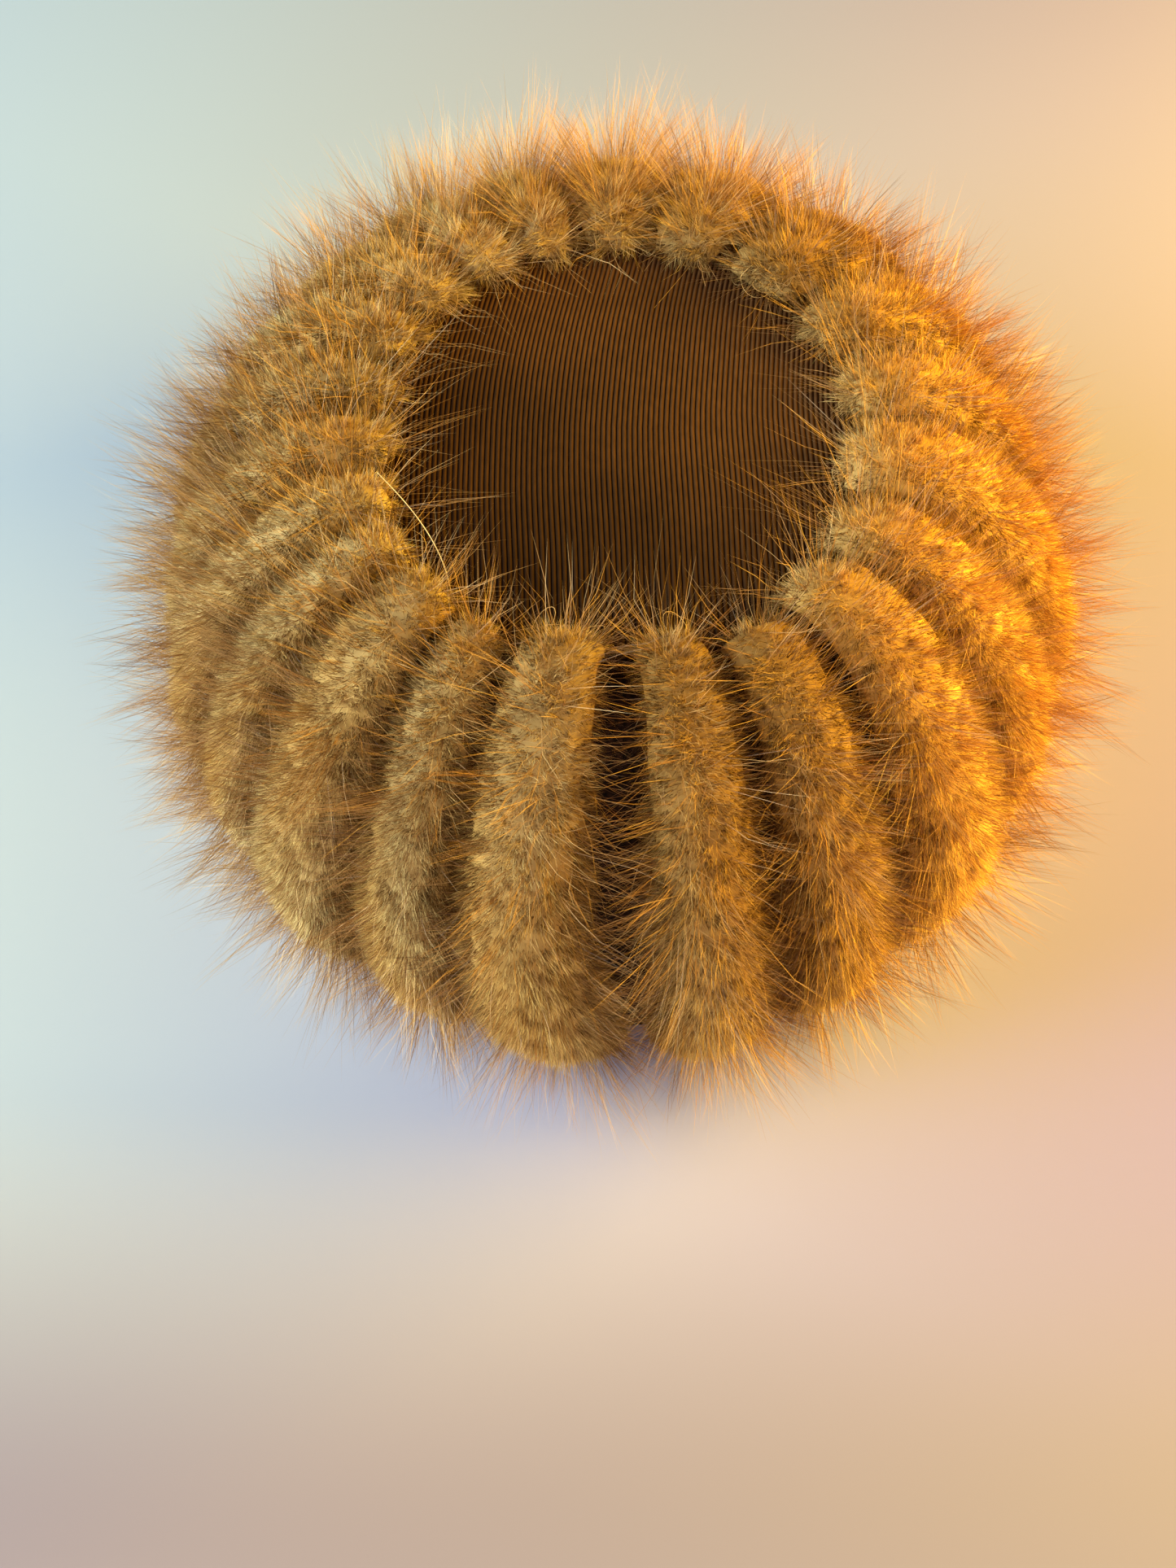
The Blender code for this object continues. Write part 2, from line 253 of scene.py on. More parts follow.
# Crown and wall
CROWN_LIGHT_SLOPE = (6.0, 9.0, 0.0)  # painted light and shade: how much paler the cloth is painted for each metre along X and Y, darker towards -X and -Y where the rolls shade it
RIB_STEPS = 6  # steps across a rib of the crown
RIB_ROWS = 20  # steps along it
RIB_DRAWN = 0.0105  # how far the ribs are drawn to the right at the front edge
RIB_DRAWN_FROM = -0.002  # where along Y that begins, over what length and by what power
RIB_DRAWN_OVER = 0.068
RIB_DRAWN_POWER = 1.7
RIB_WAVES = ((0.00025, 60.0, 35.0, 0.0), (0.00015, 140.0, -50.0, 0.0))  # size, along, across
RIB_ROUNDNESS = 0.8
RIB_MIDDLE = 0.6  # share of a rib's height that lies under the crown's own face
RIB_EDGE = 0.10  # share of the crown's radius over which ribs flatten to its edge
RIB_EDGE_POWER = 0.3
RIB_LEAST = 4  # fewest tried points inside the crown for a rib
RIB_SEARCH = 801  # points tried along a rib to find its ends
WALL_STEPS = 22  # steps down the wall
WALL_SHARP = 50.0  # degrees from which its edges are sharp
WALL_MERGE = 0.0001

# Finishes. Values take a factor and what is added to it.
HAIR_ALONG_POWER = 0.75  # how soon a hair takes the colour of its tip
UNDERFUR_PATCHES = 75.0
GUARD_HAIR_PATCHES = 40.0
TONE_TO_VALUE = (1.45, 0.25)
PATCH_TO_VALUE = (0.60, 0.70)
VALUE_POWERS = (1.18, 1.40)  # dark fur is redder: powers of its value in green and blue
BROAD_TO_VALUE = (1.5, 0.25)
SLUB_TO_VALUE = (0.7, 0.65)
RIDGE_POWER = 1.3
SLUB_SCALE = (900.0, 260.0, 200.0)
# least share of the crown's painted light and shade
CROWN_LEAST = 0.5
WALL_THREADS = 2600.0  # radians of thread to a metre up the wall
THREADS_ROUND = 260.0  # threads round the wall
THREAD_BUMP = 0.5
THREAD_SHARE = 0.35  # how much of the weave's height is threads, besides its fuzz
WEAVE_SHADE = 0.55
SLUB_DEPTH = 0.00015
WEAVE_DEPTH = 0.0002
# The floor's tones are painted light and shade
FLOOR_FAR = (-0.05, 0.22)  # where the floor's far tones begin and where they are full
FLOOR_NEAR = (-0.10, -0.22)
FLOOR_ACROSS = (-0.22, 0.22)

# What the longest hairs may reach, a little inside the room that fabric may stand proud
REACH_X = 0.1324
REACH_Y = 0.1457
REACH_Z = 0.1295
HAIR_CLEAR = 0.0004  # how far hairs stay off the floor and the crown

# Camera and sky
CAMERA_PLACE = (-0.0141, -0.3173, 0.4321)
CAMERA_TURN = (math.radians(33.7), 0.0, -0.022)
SENSOR_WIDTH = 36.0
CAMERA_SEES = (0.01, 20.0)
SKY_COLOUR = (0.86, 0.92, 1.0, 1.0)
SKY_STRENGTH = 0.05
FRONT_LIGHT = (1.0, 0.80, 0.64)

# What settings of one kind share
LENGTH = {"subtype": "DISTANCE", "unit": "LENGTH"}
COLOUR = {"subtype": "COLOR", "min": 0.0, "max": 1.0}


class HatCrownSettings(PropertyGroup):
    """Ribbed fabric of the crown."""
    rib_pitch: FloatProperty(
        name="Rib pitch", description="Distance from rib to rib",
        default=0.00120, min=0.0006, max=0.004, **LENGTH)
    rib_height: FloatProperty(
        name="Rib height", description="How far a rib stands up",
        default=0.00042, min=0.0, max=0.002, **LENGTH)
    # Partly painted shade: the grooves are much darker than the ridges, standing in for shade between the
    # ribs, besides the cloth's own colour
    ridge_colour: FloatVectorProperty(
        name="Ridge", description="Colour on top of the ribs", default=(0.091, 0.0405, 0.0150), **COLOUR)
    groove_colour: FloatVectorProperty(
        name="Groove", description="Colour between the ribs", default=(0.021, 0.0080, 0.0024), **COLOUR)


class HatWallSettings(PropertyGroup):
    """Plain dark fabric of the side wall."""
    # Partly painted shade: the wall is painted darker than the crown's cloth, for shade where it shows
    # between the rolls
    colour: FloatVectorProperty(
        name="Fabric", description="Colour of the side wall", default=(0.030, 0.012, 0.006), **COLOUR)
    steps: IntProperty(
        name="Steps", description="Facets round the wall", default=144, min=24, max=512)


class HatFurSettings(PropertyGroup):
    """Underfur and guard hairs of the rolls."""
    underfur_tufts: IntProperty(
        name="Underfur tufts", description="Tufts of underfur on a roll", default=2950, min=10, max=8000)
    tuft_hairs: IntProperty(
        name="Hairs in a tuft", description="Underfur hairs in one tuft", default=10, min=1, max=40)
    wisps: IntProperty(
        name="Wisps", description="Pointed wisps of guard hairs on a roll", default=165, min=1, max=1000)
    wisp_hairs: IntProperty(
        name="Hairs in a wisp", description="Guard hairs in one wisp", default=10, min=1, max=40)
    single_hairs: IntProperty(
        name="Single hairs", description="Guard hairs that stand alone on a roll",
        default=1350, min=1, max=6000)
    curled_hairs: IntProperty(
        name="Curled hairs", description="Curled hairs at a roll's inner end", default=5, min=0, max=100)
    stray_width: FloatProperty(
        name="Loose hair width", description="Width of the loose pale hair", default=0.00022, **LENGTH)
    underfur_width: FloatProperty(
        name="Underfur width", description="Width of an underfur hair at its root",
        default=0.00018, **LENGTH)
    guard_width: FloatProperty(
        name="Guard width", description="Width of a guard hair at its root", default=0.000110, **LENGTH)
    guard_length: FloatProperty(
        name="Guard length", description="Usual length of a guard hair past the underfur",
        default=0.0200, **LENGTH)
    deep_colour: FloatVectorProperty(
        name="Deep fur", description="Colour near the skin", default=(0.200, 0.092, 0.024), **COLOUR)
    underfur_colour: FloatVectorProperty(
        name="Underfur", description="Colour of the underfur's tips",
        default=(0.715, 0.405, 0.088), **COLOUR)
    pale_colour: FloatVectorProperty(
        name="Pale underfur", description="Colour of the palest underfur",
        default=(0.740, 0.560, 0.250), **COLOUR)
    guard_root_colour: FloatVectorProperty(
        name="Guard root", description="Colour of a guard hair's lower half",
        default=(0.270, 0.118, 0.032), **COLOUR)
    guard_tip_colour: FloatVectorProperty(
        name="Guard tip", description="Colour of a guard hair's tip",
        default=(0.640, 0.320, 0.090), **COLOUR)


class HatStageSettings(PropertyGroup):
    """Floor, light and camera."""
    floor_size: FloatProperty(
        name="Floor", description="Side of the floor", default=6.0, **LENGTH)
    # Painted light and shade: the floor's colours stand in for the light on a backdrop, paler on the left
    # where the hat's shadow falls and darker far off on the left and in front
    floor_left: FloatVectorProperty(
        name="Floor left", description="Colour of the floor on the left",
        default=(0.620, 0.680, 0.700), **COLOUR)
    floor_far: FloatVectorProperty(
        name="Floor far left", description="Colour of the floor far on the left",
        default=(0.370, 0.490, 0.700), **COLOUR)
    floor_near: FloatVectorProperty(
        name="Floor near", description="Colour of the floor in front",
        default=(0.280, 0.255, 0.350), **COLOUR)
    floor_right: FloatVectorProperty(
        name="Floor right", description="Colour of the floor on the right",
        default=(0.235, 0.215, 0.760), **COLOUR)
    floor_far_right: FloatVectorProperty(
        name="Floor far right", description="Colour of the floor far on the right",
        default=(0.270, 0.260, 0.540), **COLOUR)
    cool_light: FloatVectorProperty(
        name="Cool light", description="Colour of the light from the left",
        default=(0.890, 1.000, 0.905), **COLOUR)
    warm_light: FloatVectorProperty(
        name="Warm light", description="Colour of the light from the right",
        default=(1.000, 0.635, 0.065), **COLOUR)
    lens: FloatProperty(
        name="Lens", description="Focal length of the camera in millimetres",
        default=44.84, min=10.0, max=200.0)


def unit(vectors):
    """Rows of an array as vectors of length one."""
    return vectors / np.maximum(np.linalg.norm(vectors, axis=-1, keepdims=True), 1e-12)


def ramp(value, start, over, least=0.0):
    """A share that grows evenly up to one over a distance from a start."""
    return np.clip((value - start) / over, least, 1.0)


def fade(value, over):
    """A share that falls evenly from one to nothing over a distance."""
    return np.clip(1.0 - value / over, 0.0, 1.0)


def openness(turn, least, lift):
    """A share that is one where a roll faces out and falls to a least one beside the next roll."""
    return least + (1.0 - least) * np.clip(lift + np.sin(turn), 0.0, 1.0)


def waves(rows, one, two, shift=0.0):
    """Sine waves over two directions, added up."""
    return sum(size * np.sin(a * one + b * two + c * shift) for size, a, b, c in rows)


def quarter(start, end, power, steps=CURVE_STEPS):
    """Points of a quarter superellipse that leaves start level and reaches end upright."""
    turn = np.linspace(0.0, 0.5 * math.pi, steps + 1)
    out = np.sin(turn) ** (2.0 / power)
    down = 1.0 - np.maximum(np.cos(turn), 0.0) ** (2.0 / power)
    return np.stack([start[0] + (end[0] - start[0]) * out, start[1] + (end[1] - start[1]) * down], 1)


def evenly(path, steps):
    """Points along a polyline at equal spaces of its own length."""
    path = np.asarray(path, float)
    run = np.concatenate([[0.0], np.cumsum(np.hypot(*np.diff(path, axis=0).T))])
    spots = np.linspace(0.0, run[-1], steps + 1)
    return np.stack([np.interp(spots, run, path[:, axis]) for axis in (0, 1)], 1)


def wall_path(steps=ALONG_WALL):
    """Outside of the fabric wall, as (radius, height) from the crown's edge to the hem."""
    shoulder = quarter((SHOULDER_RADIUS, CROWN_TOP), (WALL_RADIUS, WALL_WIDEST_Z), SHOULDER_POWER)
    return evenly(np.vstack([shoulder, [(HEM_RADIUS, 0.0)]]), steps)


def fur_path():
    """Outside of the dense fur over the wall, from its crest over the bulge to the tuck."""
    bulge = (BULGE_RADIUS, BULGE_Z)
    over = quarter((CREST_RADIUS, CREST_Z), bulge, CREST_POWER)
    under = quarter((TUCK_RADIUS, ROLL_FOOT_Z), bulge, TUCK_POWER)
    return evenly(np.vstack([over, under[::-1][1:]]), ALONG_WALL)


def stations(start):
    """Matching points of the fabric and of the dense fur, all along a roll."""
    flat = evenly([(start, CROWN_TOP), (SHOULDER_RADIUS, CROWN_TOP)], ALONG_CROWN)
    tip = (start - TIP_LEAN, CROWN_TOP + TIP_DEPTH)
    rise = evenly(quarter((CREST_RADIUS, CREST_Z), tip, 2.0)[::-1], ALONG_CROWN)
    return np.vstack([flat[:-1], wall_path()]), np.vstack([rise[:-1], fur_path()])


def angle_at(roll, share):
    """A roll's middle at a share of its way down, in degrees."""
    above = roll.crown + (roll.mid - roll.crown) * np.sin(math.pi * share)
    below = roll.mid + (roll.hem - roll.mid) * (2.0 * share - 1.0)
    return np.where(share < 0.5, above, below)


def seam_after(index, share, radius):
    """The angles of the two sides of the seam between a roll and the next one."""
    roll = ROLLS[index]
    after = ROLLS[(index + 1) % len(ROLLS)]
    here = angle_at(roll, share)
    there = here + (angle_at(after, share) - here) % 360.0
    middle = here + (there - here) * roll.width / (roll.width + after.width)
    opening = np.maximum(np.sin(math.pi * share), 0.0)
    gap = LEAST_SEAM + max(roll.gap * MILLIMETRE - LEAST_SEAM, 0.0) * opening
    half = np.degrees(0.5 * gap / radius)
    return middle - half, middle + half


class RollShape:
    """The surface of one roll's dense fur, by share along it and turn round its section."""

    def __init__(self, index):
        self.index = index
        self.roll = ROLLS[index]
        self.backs, self.fronts = stations(self.roll.start * MILLIMETRE)
        self.steps = np.linspace(0.0, 1.0, len(self.backs))
        bearings, tones = zip(*ROLL_LIGHT_TONES)
        # the roll's tone holds painted light and shade, by its bearing
        self.tone = 0.5 + np.interp(self.roll.mid, bearings, tones, period=360.0)
        self.facing = math.sin(math.radians(self.roll.mid))
        self.ahead = max(self.facing, 0.0)

    def place(self, share, across, rise):
        """Points at a share along, across from side to side (-1 to 1), and rise off the wall."""
        share = np.clip(share, 0.0, 1.0)
        back = np.stack([np.interp(share, self.steps, self.backs[:, axis]) for axis in (0, 1)], -1)
        front = np.stack([np.interp(share, self.steps, self.fronts[:, axis]) for axis in (0, 1)], -1)
        depth = np.linalg.norm(front - back, axis=-1)
        outward = (front - back) / depth[..., None]
        fullness = np.sqrt(np.maximum(1.0 - np.abs(2.0 * share - 1.0) ** END_POWER, 0.0))
        puff = depth * self.roll.puff * (END_PUFF + (1.0 - END_PUFF) * fullness)
        out = PILE_GAP + rise * np.maximum(puff, LEAST_PUFF)
        radius = back[..., 0] + outward[..., 0] * out
        height = back[..., 1] + outward[..., 1] * out
        right = seam_after(self.index, share, radius)[0]
        left = right - (right - seam_after(self.index - 1, share, radius)[1]) % 360.0
        wide = across * (END_WIDTH + (1.0 - END_WIDTH) * fullness)
        bearing = np.radians(0.5 * (left + right) + 0.5 * (right - left) * wide)
        return np.stack([radius * np.cos(bearing), OVAL * radius * np.sin(bearing),
                         np.maximum(height, ROLL_FOOT_Z)], -1)

    def skin(self, share, turn, reach=1.0):
        """Points on the dense fur's surface, or below it where reach is under one."""
        rise = np.maximum(WAIST + reach * (1.0 - WAIST) * np.sin(turn), 0.0)
        return self.place(share, reach * np.cos(turn), rise)

    def spine(self, share):
        """Points along the middle of the roll, from which its hair fans out."""
        share = np.clip(share, *SPINE_ENDS)
        return self.place(share, np.zeros_like(share), np.full_like(share, SPINE_RISE))

    def grown(self, share, turn):
        """Surface point, outward hair direction, direction along the roll and across it."""
        here = self.skin(share, turn)
        along = self.skin(share + SLIGHT, turn) - self.skin(share - SLIGHT, turn)
        around = self.skin(share, turn + 5.0 * SLIGHT) - self.skin(share, turn - 5.0 * SLIGHT)
        fan = unit(here - self.spine(share))
        normal = unit(np.cross(along, around))
        normal *= np.sign(np.sum(normal * fan, -1, keepdims=True) + 1e-9)
        out = unit(normal + FAN * fan)
        down = unit(along - np.sum(along * out, -1, keepdims=True) * out)
        return here, out, down, np.cross(out, down)

    def roots(self, count, rng, exposure):
        """Shares and turns of roots, spread evenly by area and weighed by exposure."""
        share = (np.arange(SAMPLE_ALONG) + 0.5) / SAMPLE_ALONG
        turn = np.linspace(-TURN_BELOW, math.pi + TURN_BELOW, SAMPLE_AROUND)
        grid_share, grid_turn = (x.ravel() for x in np.meshgrid(share, turn, indexing="ij"))
        half_share = 0.5 / SAMPLE_ALONG
        half_turn = 0.5 * (turn[1] - turn[0])
        one = self.skin(grid_share + half_share, grid_turn) - self.skin(grid_share - half_share, grid_turn)
        two = self.skin(grid_share, grid_turn + half_turn) - self.skin(grid_share, grid_turn - half_turn)
        weight = np.linalg.norm(np.cross(one, two), axis=-1) * exposure(grid_share, grid_turn)
        cell = rng.choice(len(weight), count, p=weight / weight.sum())
        return (grid_share[cell] + rng.uniform(-half_share, half_share, count),
                grid_turn[cell] + rng.uniform(-half_turn, half_turn, count))


class HairBatch:
    """Points, triangles and per-point values of many joined strips."""

    def __init__(self):
        self.points, self.faces, self.along, self.tone, self.pale, self.kind = [], [], [], [], [], []
        self.count = 0

    def add(self, points, faces, along, tone, pale, kind):
        self.points.append(points.reshape(-1, 3))
        self.faces.append(faces + self.count)
        self.along.append(along.ravel())
        self.tone.append(tone.ravel())
        self.pale.append(pale.ravel())
        self.kind.append(np.full(len(faces), kind, np.int32))
        self.count += len(self.points[-1])

    def mesh(self, name):
        points = np.concatenate(self.points).astype(np.float32)
        faces = np.concatenate(self.faces).astype(np.int32)
        mesh = bpy.data.meshes.new(name)
        mesh.vertices.add(len(points))
        mesh.vertices.foreach_set("co", points.ravel())
        mesh.loops.add(faces.size)
        mesh.loops.foreach_set("vertex_index", faces.ravel())
        mesh.polygons.add(len(faces))
        mesh.polygons.foreach_set("loop_start", np.arange(0, faces.size, 3, dtype=np.int32))
        mesh.polygons.foreach_set("material_index", np.concatenate(self.kind))
        for label, parts in (("hair_along", self.along), ("hair_tone", self.tone),
                             ("hair_pale", self.pale)):
            values = mesh.attributes.new(label, "FLOAT", "POINT")
            values.data.foreach_set("value", np.concatenate(parts).astype(np.float32))
        mesh.update(calc_edges=True)
        mesh.shade_smooth()
        return mesh


def kept_in(root, end):
    """Ends of hairs, drawn back towards their roots where they leave the room for hair."""
    room = np.array([REACH_X, REACH_Y, REACH_Z])
    run = end - root
    past = np.abs(end) > room
    share = (room - np.abs(root)) / np.maximum(np.abs(end) - np.abs(root), 1e-9)
    share = np.where(past, share, 1.0).min(-1, keepdims=True)
    return root + run * np.clip(share, 0.0, 1.0)


def off_floor(points):
    """Points lifted onto the surface where a hair would pass through it."""
    points[..., 2] = np.maximum(points[..., 2], HAIR_CLEAR)
    return points


def add_core(batch, shape, rng):
    """The closed core of matted underfur under the hairs of one roll."""
    share = np.linspace(0.0, 1.0, CORE_ALONG + 1)[1:-1]
    turn = 2.0 * math.pi * np.arange(CORE_AROUND) / CORE_AROUND
    grid_share, grid_turn = np.meshgrid(share, turn, indexing="ij")
    reach = CORE_REACH + rng.uniform(-CORE_UNEVEN, CORE_UNEVEN, grid_share.shape)
    rings = shape.skin(grid_share, grid_turn, reach)
    ends = shape.place(np.array([0.0, 1.0]), np.zeros(2), np.full(2, 0.5))
    points = np.vstack([rings.reshape(-1, 3), ends])
    row = np.arange(len(share) - 1)[:, None] * CORE_AROUND
    here = np.arange(CORE_AROUND)[None, :]
    after = (here + 1) % CORE_AROUND
    a, b, c, d = (x.ravel() for x in (row + here, row + after, row + CORE_AROUND + after,
                                      row + CORE_AROUND + here))
    side = np.vstack([np.stack([a, b, c], 1), np.stack([a, c, d], 1)])
    last = (len(share) - 1) * CORE_AROUND
    first_end, last_end = len(points) - 2, len(points) - 1
    here, after = here.ravel(), after.ravel()
    caps = np.vstack([np.stack([after, here, np.full_like(here, first_end)], 1),
                      np.stack([last + here, last + after, np.full_like(here, last_end)], 1)])
    flat = np.zeros(len(points))
    batch.add(points, np.vstack([side, caps]), flat + CORE_ALONG_VALUE, flat + shape.tone,
              np.concatenate([pale_at(grid_share, grid_turn, shape).ravel(), CORE_END_PALE]), 0)


def pale_at(share, turn, shape):
    """How pale the underfur is: most at a roll's inner end, and in patches along its crest on the rolls on
    the left, which is painted light from the left.
    """
    many, shift, skew, turns = PALE_WAVES
    end = ramp(PALE_END_TO - share, 0.0, PALE_END_OVER)
    crest = np.clip(np.sin(turn), 0.0, 1.0) ** PALE_SOFTNESS
    skewed = skew * np.cos(turns * turn + shape.index)
    patch = 0.5 + 0.5 * np.sin(many * share + shift * shape.index + skewed)
    # painted light: the crests of the rolls on the left are paler, standing in for the light from that side
    left = 0.5 - 0.5 * np.cos(np.radians(shape.roll.mid))
    return np.clip(PALE_END * end + crest * left * (LIT_CREST_PALE + LIT_CREST_PATCH * patch), 0.0, 1.0)


def shade_at(turn, shape):
    """How much darker fur is towards the crevice beside a roll, less in front and at a wide gap."""
    beside = np.where(np.sin(turn) > 0.0, ramp(np.abs(np.cos(turn)), *FLANK), 1.0)
    gap = np.where(np.cos(turn) > 0.0, shape.roll.gap, ROLLS[shape.index - 1].gap)
    depth = (CREVICE_SHADE - CREVICE_AHEAD * shape.ahead) * (1.0 - CREVICE_OPEN * ramp(gap, *WIDE_GAP))
    return depth * beside * beside * (3.0 - 2.0 * beside)


def strip_widths(line, out, width, taper, rng):
    """Half-width vectors across each hair, facing outwards with a random twist."""
    run = unit(line[:, -1] - line[:, 0])
    side = unit(np.cross(run, out))
    up = np.cross(side, run)
    twist = rng.normal(0.0, HAIR_TWIST, len(line))[:, None]
    side = side * np.cos(twist) + up * np.sin(twist)
    return 0.5 * side[:, None, :] * (width[:, None] * taper[None, :])[..., None]


def add_strips(batch, line, half, tone, pale, kind):
    """Hairs as strips along their points, each ending in one pointed triangle."""
    count, steps = line.shape[:2]
    left, right, tip = line[:, :-1] - half, line[:, :-1] + half, line[:, -1:]
    points = off_floor(np.concatenate([left, right, tip], 1))
    low = np.arange(steps - 2)
    one = np.stack([low, low + steps - 1, low + steps], 1)
    two = np.stack([low, low + steps, low + 1], 1)
    end = np.array([[steps - 2, 2 * steps - 3, 2 * steps - 2]])
    pattern = np.vstack([one, two, end]) if steps > 2 else end
    faces = (pattern[None] + (2 * steps - 1) * np.arange(count)[:, None, None]).reshape(-1, 3)
    share = np.linspace(0.0, 1.0, steps)
    along = np.tile(np.concatenate([share[:-1], share[:-1], [1.0]]), (count, 1))
    spread = np.ones((1, 2 * steps - 1))
    batch.add(points, faces, along, tone[:, None] * spread, pale[:, None] * spread, kind)


def underfur_exposure(share, turn):
    """Where underfur shows: all over, less so deep between two rolls."""
    return openness(turn, *UNDERFUR_OPEN)


def guard_exposure(share, turn):
    """Where guard hairs grow: all over, few of them deep between two rolls."""
    usual, more, many, skew = GUARD_PATCHES
    patch = usual + more * np.sin(many * share + skew * np.cos(turn))
    return (patch + GUARD_AT_END * fade(share, GUARD_END_TO)) * openness(turn, *GUARD_OPEN)


def wisp_exposure(shape):
    """Where wisps grow: on the outside of a roll, and higher up on the front of the hat."""
    begin = WISPS_FROM - WISPS_HIGHER * shape.ahead

    def exposure(share, turn):
        outside = ramp(share, begin, WISPS_OVER, FEWEST_WISPS)
        most = np.where(share < WISPS_AT_END, np.maximum(outside, END_WISPS), outside)
        return guard_exposure(share, turn) * most
    return exposure


def tufts(shape, count, per, rng, exposure, spread):
    """Roots in tufts: each tuft's own place and directions, and each hair's offset in it."""
    share, turn = shape.roots(count, rng, exposure)
    skin, out, down, side = shape.grown(share, turn)
    offset = rng.normal(0.0, spread, (count, per, 2))
    shift = offset[..., :1] * down[:, None, :] + offset[..., 1:] * side[:, None, :]
    return share, turn, skin, out, down, side, shift


def wander(share, turn, index, low, high):
    """A smooth field over a roll that swings between two values, for how its fur parts."""
    return low + (high - low) * (0.5 + 0.25 * waves(PARTING_WAVES, share, turn, index))


def add_underfur(batch, shape, fur, rng):
    """Short dense hairs in soft tufts, the tall tufts paler than the low ones between them, as painted
    shade on the low ones.
    """
    count, per = fur.underfur_tufts, fur.tuft_hairs
    share, turn, skin, out, down, side, shift = tufts(shape, count, per, rng, underfur_exposure,
                                                      UNDERFUR_SPREAD)
    base = shape.skin(share, turn, CORE_REACH - UNDERFUR_DEPTH)
    swing = wander(share, turn, shape.index, -LOCK_SWING, LOCK_SWING) + rng.normal(0.0, TUFT_SWING, count)
    lean = rng.uniform(*UNDERFUR_LEAN, count)
    comb = down * ramp(share, COMBED_FROM, COMBED_OVER, -1.0)[:, None]
    tall = rng.uniform(0.0, 1.0, count)
    rise = UNDERFUR_RISE[0] + (UNDERFUR_RISE[1] - UNDERFUR_RISE[0]) * tall
    forward = 0.5 + 0.5 * shape.facing
    fluffy_to = FLUFFY_END + FLUFFY_FURTHER * forward ** 3
    fluff = forward * np.clip((fluffy_to - share) / fluffy_to, 0.0, 1.0)
    rise *= openness(turn, CREVICE_RISE[0], CREVICE_RISE[1] + fluff)
    rise *= wander(LOCKS[0] * share, LOCKS[1] * turn, shape.index, *LOCK_RISE)
    lean *= 1.0 + FLUFFY_LEAN * fluff
    tip = skin + out * (rise * (1.0 + FLUFFY_RISE * fluff))[:, None]
    tip += comb * (lean * np.cos(swing))[:, None]
    tip += side * (lean * np.sin(swing))[:, None]
    root = base[:, None, :] + shift
    end = tip[:, None, :] + UNDERFUR_GATHER * shift + rng.normal(0.0, UNDERFUR_SCATTER, (count, per, 3))
    line = np.stack([root, end], 2).reshape(-1, 2, 3)
    hairs = len(line)
    outs = np.repeat(out, per, 0)
    width = fur.underfur_width * rng.uniform(*HAIR_WIDTHS, hairs)
    half = strip_widths(line, outs, width, np.array([1.0]), rng)
    # painted shade: low tufts darker than tall ones
    tone = rng.normal(shape.tone, TUFT_TONES, count) + LOW_TUFT_SHADE * (tall - 0.5) - shade_at(turn, shape)
    tone -= FAR_SHADOW * shape.ahead * fade(share, FAR_SHADOW_TO)
    # painted light near the hem
    tone += HEM_LIGHT * ramp(share, HEM_TONE_FROM, HEM_TONE_OVER)
    tone = np.clip(np.repeat(tone, per) + rng.normal(0.0, HAIR_TONES, hairs), 0.0, 1.0)
    pale = np.repeat(pale_at(share, turn, shape), per)
    add_strips(batch, line, half, tone, pale, 0)


def add_guard_hairs(batch, shape, fur, rng, coat, count, per, exposure):
    """Long hairs that stand out past the underfur, in pointed wisps or one by one."""
    share, turn, skin, out, down, side, shift = tufts(shape, count, per, rng, exposure, coat.spread)
    base = shape.skin(share, turn, CORE_REACH)
    swing = rng.uniform(0.0, 2.0 * math.pi, count)
    lean = np.abs(rng.normal(0.0, coat.lean, count))
    way = out + down * (coat.comb + lean * np.cos(swing))[:, None] + side * (lean * np.sin(swing))[:, None]
    length = fur.guard_length * openness(turn, *GUARD_LENGTH_OPEN) * rng.uniform(*coat.length, count)
    length *= wander(GUARD_WAVE_SCALE * share, turn, shape.index, *GUARD_LENGTH_WAVE)
    tip = base + unit(way) * length[:, None]
    root = base[:, None, :] + shift
    ends = tip[:, None, :] + coat.gather * shift + rng.normal(0.0, coat.scatter, (count, per, 3))
    ends = kept_in(root, root + (ends - root) * rng.uniform(*GUARD_ENDS, (count, per, 1)))
    share_along = np.linspace(0.0, 1.0, GUARD_STEPS)
    bow = rng.normal(0.0, coat.bow, (count, per, 1, 1)) * length[:, None, None, None]
    bend = bow * (4.0 * share_along * (1.0 - share_along))[None, None, :, None]
    line = root[:, :, None, :] + (ends - root)[:, :, None, :] * share_along[None, None, :, None]
    line = line + bend * side[:, None, None, :]
    line = line.reshape(-1, GUARD_STEPS, 3)
    hairs = len(line)
    width = fur.guard_width * rng.uniform(*HAIR_WIDTHS, hairs)
    half = strip_widths(line, np.repeat(out, per, 0), width, GUARD_TAPER, rng)
    tone = np.repeat(rng.normal(GUARD_TONE[0] + GUARD_TONE[1] * shape.tone, GUARD_TONES[0], count), per)
    tone = tone + rng.normal(0.0, GUARD_TONES[1], hairs)
    tone = np.clip(tone - GUARD_SHADE * np.repeat(shade_at(turn, shape), per), 0.0, 1.0)
    pale = np.repeat(GUARD_PALE * pale_at(share, turn, shape), per)
    add_strips(batch, line, half, tone, pale, 1)


